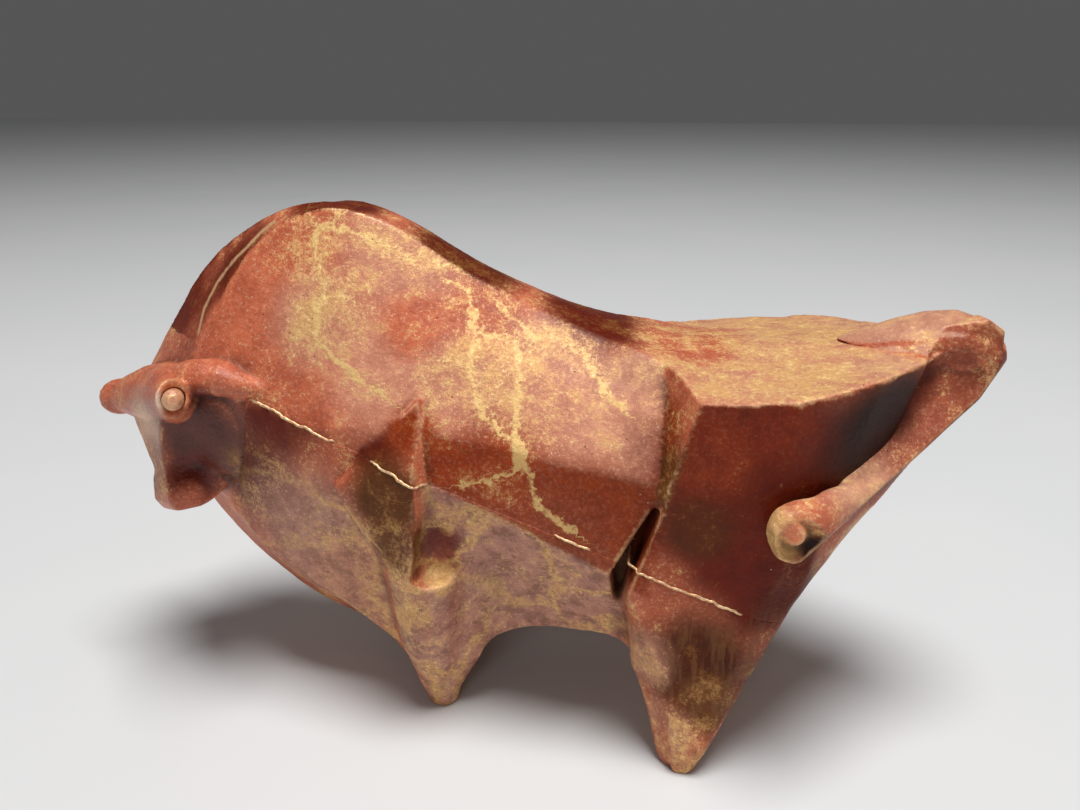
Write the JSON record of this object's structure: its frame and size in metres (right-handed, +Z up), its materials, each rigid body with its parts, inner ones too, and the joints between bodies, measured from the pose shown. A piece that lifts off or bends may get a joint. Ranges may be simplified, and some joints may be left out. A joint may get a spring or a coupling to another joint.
{
  "type": "cast metal bull sculpture",
  "caption": "Stylised cast bronze bull in flat planes, with a turned head, short horns, a looped tail and red lacquer with gold veins; a free-standing ornament.",
  "frame": {"origin": "under the middle of the bull's outer box, on the surface that it stands on", "axes": "+X towards the rump, so the bull faces -X; +Z up; the bull's left side, which the picture shows, is at -Y"},
  "size_m": [0.2758, 0.0988, 0.156],
  "materials": {
    "red_lacquer": "red lacquer rubbed with gold powder over cast bronze",
    "dark_lacquer": "brown-red lacquer with gold veins over cast bronze",
    "worn_bronze": "worn satin bronze",
    "braze": "pale gold, dressed flush",
    "steel_pin": "plain"
  },
  "bodies": {
    "root": {"upper_casting": "red_lacquer", "lower_casting": "dark_lacquer", "head_casting": "dark_lacquer", "horn_tip_left": "worn_bronze", "horn_tip_right": "worn_bronze", "tail_casting": "dark_lacquer", "braze_joint": "braze", "locating_pin_fore_left": "steel_pin", "locating_pin_fore_right": "steel_pin", "locating_pin_hind_left": "steel_pin", "locating_pin_hind_right": "steel_pin"}
  },
  "joints": []
}
